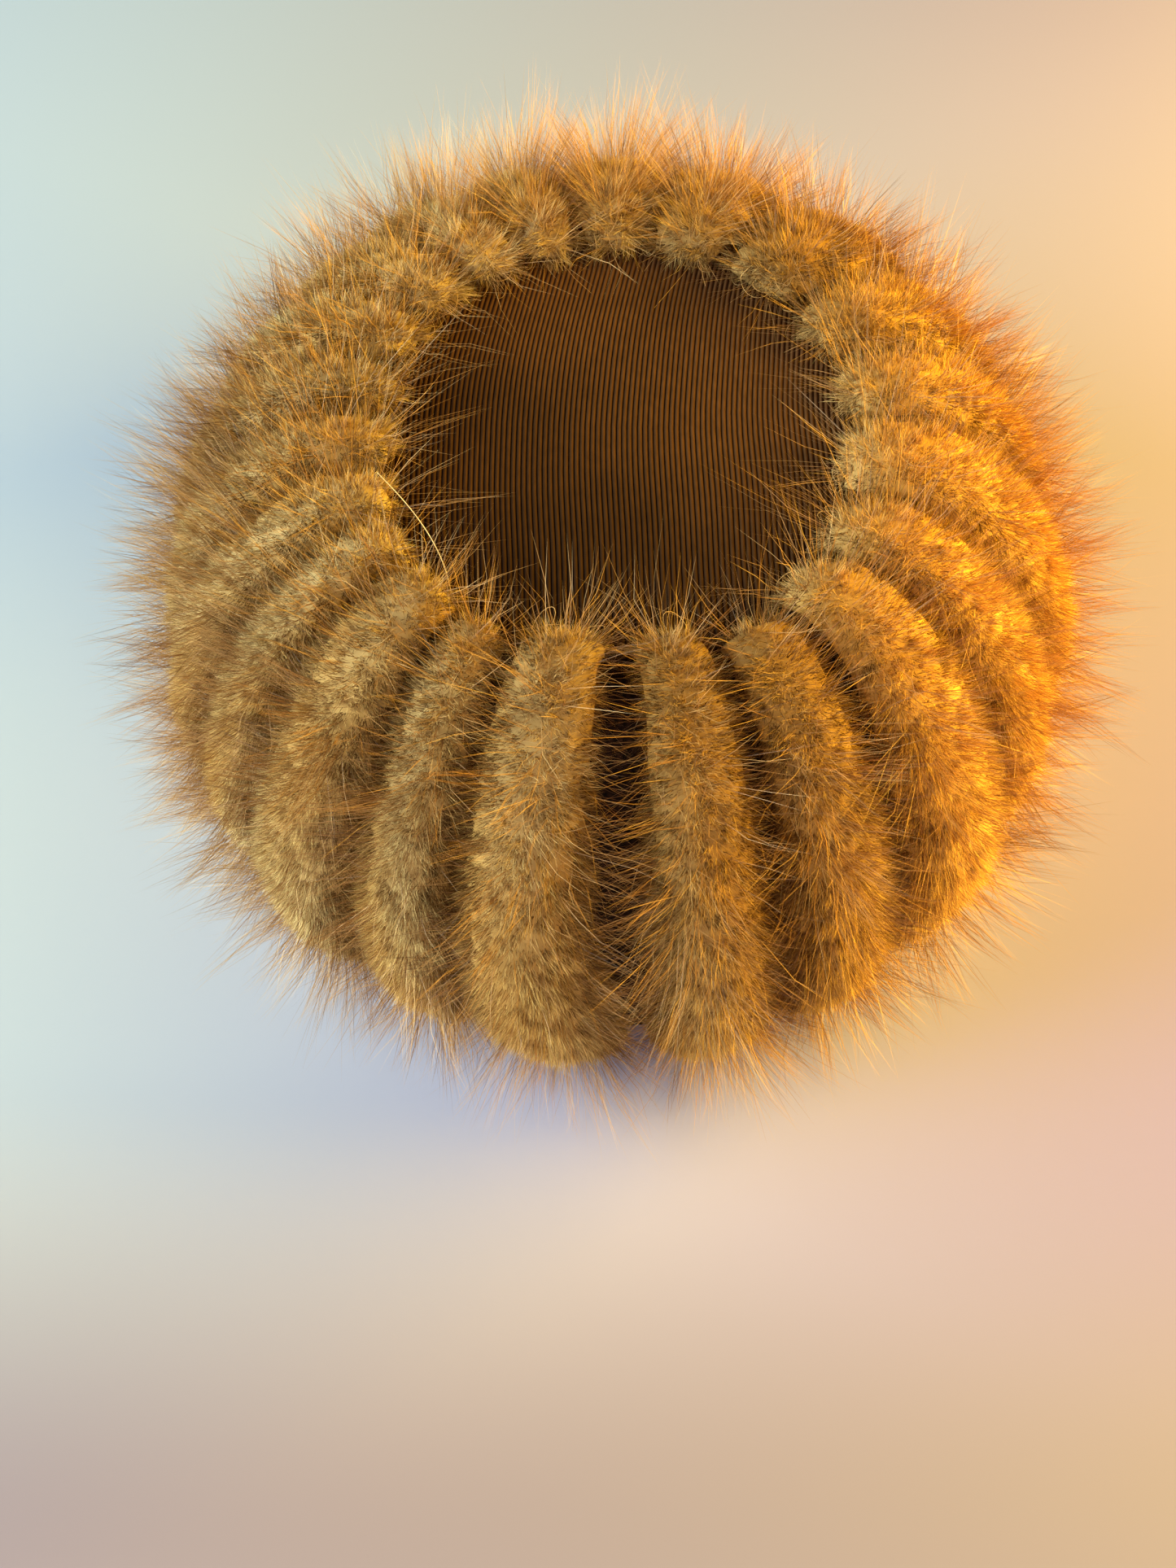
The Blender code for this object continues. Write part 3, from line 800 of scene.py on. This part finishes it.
def add_crossing_hairs(batch, shape, fur, rng):
    """Long single hairs that cross a wide gap from the side of a roll."""
    for gap, middle in ((shape.roll.gap, CROSSING_TURN),
                        (ROLLS[shape.index - 1].gap, math.pi - CROSSING_TURN)):
        def exposure(share, turn):
            high = ramp(share, *CROSSING_FROM) * ramp(1.0 - share, 0.0, *CROSSING_LOW)
            return np.exp(-((turn - middle) / CROSSING_TURN) ** 2) * high
        count = int(CROSSING_HAIRS * max(gap - CROSSING_GAP, 0.0))
        if count:
            add_guard_hairs(batch, shape, fur, rng, CROSSING_COAT, count, 1, exposure)


def add_thread(batch, path, width, tone, pale):
    """One long curved hair, as a three-sided tube along a path."""
    count = len(path)
    run = unit(np.gradient(path, axis=0))
    side = unit(np.cross(run, THREAD_UP))
    up = np.cross(side, run)
    taper = np.minimum(1.0, THREAD_TAPER[0] * (1.0 - np.linspace(0.0, THREAD_TAPER[1], count)))
    turn = 2.0 * math.pi * np.arange(THREAD_SIDES) / THREAD_SIDES
    ring = side[:, None, :] * np.cos(turn)[None, :, None] + up[:, None, :] * np.sin(turn)[None, :, None]
    points = path[:, None, :] + 0.5 * width * taper[:, None, None] * ring
    row = THREAD_SIDES * np.arange(count - 1)[:, None]
    here = np.arange(THREAD_SIDES)[None, :]
    after = (here + 1) % THREAD_SIDES
    a, b, c, d = ((row + step).ravel() for step in (here, after, after + THREAD_SIDES, here + THREAD_SIDES))
    faces = np.vstack([np.stack([a, b, c], 1), np.stack([a, c, d], 1)])
    flat = np.ones(THREAD_SIDES * count)
    batch.add(points, faces, flat, tone * flat, pale * flat, 1)


def add_curls(batch, shape, fur, rng):
    """A few curled hairs at the roll's inner end."""
    for _ in range(fur.curled_hairs):
        share = np.array([rng.uniform(0.0, CURL_END)])
        turn = np.array([rng.uniform(CURL_SIDE, math.pi - CURL_SIDE)])
        skin, out, down, side = (x[0] for x in shape.grown(share, turn))
        inward = unit(out - CURL_INWARD * down)
        aside = unit(side * rng.choice((-1.0, 1.0)) + rng.normal(0.0, CURL_ASIDE, 3))
        bend = np.linspace(0.0, rng.uniform(*CURL_BENDS), CURL_STEPS)[:, None]
        radius = rng.uniform(*CURL_RADII)
        path = skin + radius * (np.sin(bend) * inward + (1.0 - np.cos(bend)) * aside)
        path[:, 2] = np.clip(path[:, 2], CROWN_TOP + CROWN_DOME + HAIR_CLEAR, REACH_Z)
        add_thread(batch, path, fur.guard_width, rng.uniform(*CURL_TONES), CURL_PALE)


def add_stray(batch, fur):
    """The one long pale hair that has come loose and lies over the crown."""
    keys = np.linspace(0.0, 1.0, len(STRAY_PATH))
    bends = np.polyfit(keys, np.array(STRAY_PATH), STRAY_BENDS)
    along = np.linspace(0.0, 1.0, STRAY_STEPS)
    path = np.stack([np.polyval(bends[:, axis], along) for axis in range(3)], 1)
    add_thread(batch, path, fur.stray_width, STRAY_TONE, STRAY_PALE)


def socket(group, name, kind, way, default=None):
    """One named input or output of a shader node group."""
    item = group.interface.new_socket(name=name, in_out=way, socket_type=kind)
    if default is not None:
        item.default_value = default
    return item


def new_group(name):
    group = bpy.data.node_groups.new(name, "ShaderNodeTree")
    return group, group.nodes.new("NodeGroupInput"), group.nodes.new("NodeGroupOutput")


def node(tree, kind, inputs=(), **settings):
    """A node with its settings, and its inputs set to values or linked to other sockets."""
    made = tree.nodes.new(kind)
    for name, value in settings.items():
        setattr(made, name, value)
    for name, value in dict(inputs).items():
        if isinstance(value, bpy.types.NodeSocket):
            tree.links.new(value, made.inputs[name])
        else:
            made.inputs[name].default_value = value
    return made


def mixed(tree, share, one, two, blend="MIX"):
    """Colour mixed from two, by a share."""
    mix = node(tree, "ShaderNodeMix", {0: share, 6: one, 7: two}, data_type="RGBA", blend_type=blend)
    return mix.outputs[2]


def maths(tree, operation, one, two=0.5, clamp=False):
    made = node(tree, "ShaderNodeMath", {0: one, 1: two}, operation=operation, use_clamp=clamp)
    return made.outputs[0]


def rgba(colour):
    return (*colour, 1.0)


def scaled(tree, value, times, plus):
    """A value times one number plus another."""
    made = node(tree, "ShaderNodeMath", {0: value, 1: times, 2: plus}, operation="MULTIPLY_ADD")
    return made.outputs[0]


def faded(tree, value, start, end):
    """A share that goes softly from nothing to all between two values."""
    made = node(tree, "ShaderNodeMapRange", {0: value, 1: start, 2: end}, interpolation_type="SMOOTHSTEP")
    return made.outputs[0]


def grey(tree, value):
    return node(tree, "ShaderNodeCombineColor", {0: value, 1: value, 2: value}).outputs[0]


def object_place(tree):
    return node(tree, "ShaderNodeTexCoord").outputs["Object"]


def attribute(tree, name):
    return node(tree, "ShaderNodeAttribute", attribute_name=name).outputs["Fac"]


def noise(tree, place, scale, detail, roughness=0.5):
    made = node(tree, "ShaderNodeTexNoise",
                {"Vector": place, "Scale": scale, "Detail": detail, "Roughness": roughness})
    return made.outputs["Fac"]


def bumped(tree, shader, height, depth):
    """Gives a material its relief, from a height between nothing and one."""
    bump = node(tree, "ShaderNodeBump", {"Strength": THREAD_BUMP, "Distance": depth, "Height": height})
    tree.links.new(bump.outputs[0], shader.inputs["Normal"])


def hair_tint_group():
    """Colour along a hair, with its own tone, its pale share and patches over the pelt."""
    group, ins, outs = new_group("hair_tint")
    for name in ("Root", "Tip", "Pale"):
        socket(group, name, "NodeSocketColor", "INPUT", (0.5, 0.5, 0.5, 1.0))
    socket(group, "Patch Size", "NodeSocketFloat", "INPUT", 60.0)
    socket(group, "Colour", "NodeSocketColor", "OUTPUT")
    along, tone, pale = (attribute(group, name) for name in ("hair_along", "hair_tone", "hair_pale"))
    patch = noise(group, object_place(group), ins.outputs["Patch Size"], 3.0, 0.6)
    tip = mixed(group, pale, ins.outputs["Tip"], ins.outputs["Pale"])
    colour = mixed(group, maths(group, "POWER", along, HAIR_ALONG_POWER), ins.outputs["Root"], tip)
    value = maths(group, "MULTIPLY", scaled(group, tone, *TONE_TO_VALUE),
                  scaled(group, patch, *PATCH_TO_VALUE))
    powers = (maths(group, "POWER", value, power) for power in VALUE_POWERS)
    tinted = node(group, "ShaderNodeCombineColor", dict(enumerate((value, *powers)))).outputs[0]
    group.links.new(mixed(group, 1.0, colour, tinted, "MULTIPLY"), outs.inputs["Colour"])
    return group


def weave_group():
    """Fine crossing threads, as a height and a shade."""
    group, ins, outs = new_group("thread_weave")
    socket(group, "Threads", "NodeSocketFloat", "INPUT", WALL_THREADS)
    socket(group, "Height", "NodeSocketFloat", "OUTPUT")
    socket(group, "Shade", "NodeSocketFloat", "OUTPUT")
    place = object_place(group)
    axes = node(group, "ShaderNodeSeparateXYZ", {0: place}).outputs
    turn = maths(group, "ARCTAN2", axes[1], axes[0])
    across = maths(group, "SINE", maths(group, "MULTIPLY", turn, THREADS_ROUND))
    up = maths(group, "SINE", maths(group, "MULTIPLY", axes[2], ins.outputs["Threads"]))
    threads = maths(group, "MULTIPLY", across, up)
    fuzz = noise(group, place, 900.0, 4.0)
    height = maths(group, "ADD", maths(group, "MULTIPLY", threads, THREAD_SHARE), fuzz)
    broad = noise(group, place, 70.0, 3.0)
    shade = maths(group, "MULTIPLY", maths(group, "ADD", broad, WEAVE_SHADE), height)
    group.links.new(height, outs.inputs["Height"])
    group.links.new(shade, outs.inputs["Shade"])
    return group


def group_node(tree, group, values):
    made = tree.nodes.new("ShaderNodeGroup")
    made.node_tree = bpy.data.node_groups[group]
    for name, value in values.items():
        made.inputs[name].default_value = value
    return made


def principled(name, **values):
    """A material with one Principled BSDF, its plain values set on its own sockets."""
    material = bpy.data.materials.new(name)
    material.use_nodes = True
    shader = material.node_tree.nodes["Principled BSDF"]
    for label, value in values.items():
        shader.inputs[label.replace("_", " ").title().replace("Ior", "IOR")].default_value = value
    return material, material.node_tree, shader


def hair_material(name, root, tip, pale, patches, **values):
    """A material whose colour runs along each hair."""
    material, tree, shader = principled(name, **values)
    tint = group_node(tree, "hair_tint", {"Root": rgba(root), "Tip": rgba(tip), "Pale": rgba(pale),
                                          "Patch Size": patches})
    tree.links.new(tint.outputs["Colour"], shader.inputs["Base Color"])
    return material


def ribbed_material(crown):
    """Fabric whose height between groove and ridge is stored on the mesh."""
    material, tree, shader = principled("ribbed_crown_fabric", roughness=0.85, specular_ior_level=0.06)
    ridge = maths(tree, "POWER", attribute(tree, "rib_rise"), RIDGE_POWER)
    place = object_place(tree)
    stretched = node(tree, "ShaderNodeMapping", {"Vector": place, "Scale": SLUB_SCALE}).outputs[0]
    slub = noise(tree, stretched, 1.0, 3.0)
    # grooves darker than ridges: partly painted shade between the ribs
    colour = mixed(tree, ridge, rgba(crown.groove_colour), rgba(crown.ridge_colour))
    soft = scaled(tree, noise(tree, place, 26.0, 4.0), *BROAD_TO_VALUE)
    fleck = scaled(tree, slub, *SLUB_TO_VALUE)
    # painted light and shade: the crown is paler towards +X and +Y and darker where the rolls shade it
    slope = node(tree, "ShaderNodeVectorMath", {0: place, 1: CROWN_LIGHT_SLOPE}, operation="DOT_PRODUCT")
    paler = maths(tree, "MAXIMUM", maths(tree, "ADD", slope.outputs["Value"], 1.0), CROWN_LEAST)
    value = maths(tree, "MULTIPLY", maths(tree, "MULTIPLY", soft, fleck), paler)
    tree.links.new(mixed(tree, 1.0, colour, grey(tree, value), "MULTIPLY"), shader.inputs["Base Color"])
    bumped(tree, shader, slub, SLUB_DEPTH)
    return material


def wall_material(wall):
    material, tree, shader = principled("side_wall_fabric", roughness=0.85, specular_ior_level=0.15)
    weave = group_node(tree, "thread_weave", {"Threads": WALL_THREADS})
    shade = grey(tree, weave.outputs["Shade"])
    # the wall's dark colour holds painted shade for the gaps between the rolls
    tree.links.new(mixed(tree, 1.0, rgba(wall.colour), shade, "MULTIPLY"), shader.inputs["Base Color"])
    bumped(tree, shader, weave.outputs["Height"], WEAVE_DEPTH)
    return material


def floor_material(stage):
    """Floor whose colour changes slowly across it, as painted light and shade: pale and cool on the left
    where the hat's shadow falls, blue on the right under the warm lamp, darker far off on the left and in
    front.
    """
    material, tree, shader = principled("floor_painted_light", roughness=0.9, specular_ior_level=0.10)
    axes = node(tree, "ShaderNodeSeparateXYZ", {0: object_place(tree)}).outputs
    far = faded(tree, axes[1], *FLOOR_FAR)
    left = mixed(tree, far, rgba(stage.floor_left), rgba(stage.floor_far))
    right = mixed(tree, far, rgba(stage.floor_right), rgba(stage.floor_far_right))
    colour = mixed(tree, faded(tree, axes[0], *FLOOR_ACROSS), left, right)
    colour = mixed(tree, faded(tree, axes[1], *FLOOR_NEAR), colour, rgba(stage.floor_near))
    tree.links.new(colour, shader.inputs["Base Color"])
    return material


def new_piece(name, mesh, nodes, materials):
    """A finished piece in the scene, on the hat's body and in place of its solids."""
    piece = bpy.data.objects.new(name, mesh)
    bpy.context.scene.collection.objects.link(piece)
    for material in materials:
        mesh.materials.append(material)
    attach(piece, BODY)
    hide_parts(*nodes)
    return piece


class HAT_OT_stage(Operator):
    """Make the floor, the soft lights and the camera"""
    bl_idname = "hat.stage"
    bl_label = "Stage"

    def execute(self, context):
        stage = context.scene.hat_stage
        bpy.ops.mesh.primitive_plane_add(size=stage.floor_size, location=(0.0, 0.0, 0.0))
        floor = context.active_object
        floor.name = "floor"
        floor.data.materials.append(floor_material(stage))
        lamps = (
            # name, place, aim, size, power, colour
            ("window_light", (-1.17, -0.10, 0.32), (0.0, 0.0, 0.05), 1.1, 49.0, stage.cool_light),
            ("lamp_light", (0.58, 0.05, 0.22), (0.0, 0.0, 0.06), 0.42, 20.5, stage.warm_light),
            ("front_light", (0.15, -1.15, 0.50), (0.0, 0.0, 0.05), 0.80, 6.2, FRONT_LIGHT),
        )
        for name, place, aim, size, power, colour in lamps:
            light = bpy.data.lights.new(name, "AREA")
            light.size = size
            light.energy = power
            light.color = colour
            lamp = bpy.data.objects.new(name, light)
            lamp.location = place
            lamp.rotation_euler = (Vector(aim) - Vector(place)).to_track_quat("-Z", "Y").to_euler()
            lamp.visible_camera = False
            context.scene.collection.objects.link(lamp)
        world = bpy.data.worlds.new("studio")
        world.use_nodes = True
        sky = world.node_tree.nodes["Background"].inputs
        sky["Color"].default_value = SKY_COLOUR
        sky["Strength"].default_value = SKY_STRENGTH
        context.scene.world = world
        context.scene.view_settings.view_transform = "Standard"
        camera = bpy.data.cameras.new("camera")
        camera.lens = stage.lens
        camera.sensor_fit = "AUTO"
        camera.sensor_width = SENSOR_WIDTH
        camera.clip_start, camera.clip_end = CAMERA_SEES
        seat = bpy.data.objects.new("camera", camera)
        seat.location = CAMERA_PLACE
        seat.rotation_euler = CAMERA_TURN
        context.scene.collection.objects.link(seat)
        context.scene.camera = seat
        return {"FINISHED"}


def crown_height(radius):
    """Height of the crown's upper face at a radius."""
    share = ramp(radius, 0.0, CROWN_FLAT_FROM)
    return CROWN_TOP + 0.5 * CROWN_DOME * (1.0 + np.cos(math.pi * share))


def rib_lean(across, along):
    """How far a rib is drawn sideways: to the right at the front of the hat, and in slow waves."""
    ahead = ramp(along, RIB_DRAWN_FROM, RIB_DRAWN_OVER)
    return RIB_DRAWN * ahead ** RIB_DRAWN_POWER + waves(RIB_WAVES, along, across)


def rib_ends(across):
    """Where each line along a rib enters and leaves the oval crown, and which lines do."""
    along = np.linspace(-1.0, 1.0, RIB_SEARCH) * CROWN_RADIUS * OVAL
    x = across[:, None] + rib_lean(across[:, None], along)
    inside = np.hypot(x, along / OVAL) < CROWN_RADIUS
    low = along[inside.argmax(1)]
    high = along[RIB_SEARCH - 1 - inside[:, ::-1].argmax(1)]
    return low, high, inside.sum(1) > RIB_LEAST


class HAT_OT_crown(Operator):
    """Make the ribbed fabric crown"""
    bl_idname = "hat.crown"
    bl_label = "Ribbed crown"

    def execute(self, context):
        crown = context.scene.hat_crown
        reach = CROWN_RADIUS + RIB_DRAWN
        ribs = int(reach / crown.rib_pitch)
        lines = np.arange(-ribs * RIB_STEPS, ribs * RIB_STEPS + 1)
        across = lines * crown.rib_pitch / RIB_STEPS
        low, high, kept = rib_ends(across)
        lines, across, low, high = (values[kept] for values in (lines, across, low, high))
        y = low[:, None] + (high - low)[:, None] * np.linspace(0.0, 1.0, RIB_ROWS + 1)
        x = across[:, None] + rib_lean(across[:, None], y)
        radius = np.hypot(x, y / OVAL)
        rib = np.abs(np.cos(math.pi * lines / RIB_STEPS))[:, None] ** RIB_ROUNDNESS * np.ones_like(x)
        inside = ramp(1.0 - radius / CROWN_RADIUS, 0.0, RIB_EDGE)
        top = crown_height(radius) + crown.rib_height * (rib - RIB_MIDDLE) * inside ** RIB_EDGE_POWER
        row = (RIB_ROWS + 1) * np.arange(len(lines) - 1)[:, None]
        a = (row + np.arange(RIB_ROWS)).ravel()
        faces = np.stack([a, a + RIB_ROWS + 1, a + RIB_ROWS + 2, a + 1], 1)
        points = np.stack([x, y, top], -1).reshape(-1, 3)
        mesh = bpy.data.meshes.new("crown_fabric")
        mesh.from_pydata(points.tolist(), [], faces.tolist())
        values = mesh.attributes.new("rib_rise", "FLOAT", "POINT")
        values.data.foreach_set("value", rib.ravel().astype(np.float32))
        mesh.shade_smooth()
        piece = new_piece("crown_fabric", mesh, ["crown_tip"],
                          [ribbed_material(crown)])
        thick = piece.modifiers.new("cloth", "SOLIDIFY")
        thick.thickness = CLOTH - SEAM_GAP
        thick.offset = -1.0
        return {"FINISHED"}


class HAT_OT_wall(Operator):
    """Make the fabric side wall with its turned hem"""
    bl_idname = "hat.wall"
    bl_label = "Side wall"

    def execute(self, context):
        wall = context.scene.hat_wall
        seat_z = CROWN_TOP - CLOTH - SEAM_GAP
        under_z = seat_z - CLOTH
        outer = wall_path(WALL_STEPS)
        run = unit(outer[2:] - outer[:-2])
        inner = np.stack([outer[1:-1, 0] + CLOTH * run[:, 1],
                          np.minimum(outer[1:-1, 1] - CLOTH * run[:, 0], under_z)], 1)
        hem = np.array([(HEM_RADIUS - CLOTH, 0.0)])
        seat = np.array([(LIP_RADIUS, under_z), (LIP_RADIUS, seat_z), (SHOULDER_RADIUS, seat_z)])
        profile = np.vstack([outer, hem, inner[::-1], seat])
        count = len(profile)
        edges = [(i, (i + 1) % count) for i in range(count)]
        mesh = bpy.data.meshes.new("side_wall")
        mesh.from_pydata([(radius, 0.0, height) for radius, height in profile], edges, [])
        piece = new_piece("side_wall", mesh, ["side_band"], [wall_material(wall)])
        piece.scale = (1.0, OVAL, 1.0)
        screw = piece.modifiers.new("turn", "SCREW")
        screw.axis = "Z"
        screw.steps = wall.steps
        screw.render_steps = wall.steps
        screw.use_merge_vertices = True
        screw.merge_threshold = WALL_MERGE
        screw.use_smooth_shade = True
        sharp = piece.modifiers.new("edges", "EDGE_SPLIT")
        sharp.split_angle = math.radians(WALL_SHARP)
        return {"FINISHED"}


class HAT_OT_fur(Operator):
    """Make the fur rolls, each a core of underfur with hairs on it"""
    bl_idname = "hat.fur"
    bl_label = "Fur rolls"

    def execute(self, context):
        fur = context.scene.hat_fur
        materials = [
            hair_material("matted_underfur", fur.deep_colour, fur.underfur_colour, fur.pale_colour,
                          UNDERFUR_PATCHES, roughness=0.75, specular_ior_level=0.20),
            hair_material("guard_hair", fur.guard_root_colour, fur.guard_tip_colour, fur.pale_colour,
                          GUARD_HAIR_PATCHES, roughness=0.45, specular_ior_level=0.45),
        ]
        for index in range(len(ROLLS)):
            rng = np.random.default_rng(ROLL_SEED + index)
            shape = RollShape(index)
            batch = HairBatch()
            add_core(batch, shape, rng)
            add_underfur(batch, shape, fur, rng)
            most = max(abs(math.cos(math.radians(shape.roll.mid))), shape.ahead) ** WISPS_ROUND
            wisps = int(fur.wisps * (WISPS_BEHIND + (1.0 - WISPS_BEHIND) * most))
            add_guard_hairs(batch, shape, fur, rng, WISP_COAT, wisps, fur.wisp_hairs, wisp_exposure(shape))
            add_guard_hairs(batch, shape, fur, rng, SINGLE_COAT, fur.single_hairs, 1, guard_exposure)
            add_crossing_hairs(batch, shape, fur, rng)
            add_curls(batch, shape, fur, rng)
            if index == STRAY_ROLL:
                add_stray(batch, fur)
            name = f"fur_{index + 1:02d}"
            new_piece(name, batch.mesh(name), [f"fur_roll_{index + 1:02d}"], materials)
        return {"FINISHED"}


class HAT_PT_panel(Panel):
    """Panel of the hat's pieces"""
    bl_idname = "HAT_PT_panel"
    bl_label = "Pillbox hat"
    bl_space_type = "VIEW_3D"
    bl_region_type = "UI"
    bl_category = "Hat"

    def draw(self, context):
        scene = context.scene
        for operator, settings in ((HAT_OT_stage, scene.hat_stage), (HAT_OT_crown, scene.hat_crown),
                                   (HAT_OT_wall, scene.hat_wall), (HAT_OT_fur, scene.hat_fur)):
            box = self.layout.box()
            box.operator(operator.bl_idname)
            for name in settings.__annotations__:
                box.prop(settings, name)


SETTINGS = (("hat_stage", HatStageSettings), ("hat_crown", HatCrownSettings),
            ("hat_wall", HatWallSettings), ("hat_fur", HatFurSettings))
CLASSES = (HatCrownSettings, HatWallSettings, HatFurSettings, HatStageSettings, HAT_OT_stage,
           HAT_OT_crown, HAT_OT_wall, HAT_OT_fur, HAT_PT_panel)


def register():
    for item in CLASSES:
        bpy.utils.register_class(item)
    for name, group in SETTINGS:
        setattr(bpy.types.Scene, name, PointerProperty(type=group))


def unregister():
    for name, _ in SETTINGS:
        delattr(bpy.types.Scene, name)
    for item in reversed(CLASSES):
        bpy.utils.unregister_class(item)


def main():
    register()
    hair_tint_group()
    weave_group()
    bpy.ops.hat.stage()
    bpy.ops.hat.crown()
    bpy.ops.hat.wall()
    bpy.ops.hat.fur()


if __name__ == "__main__":
    main()
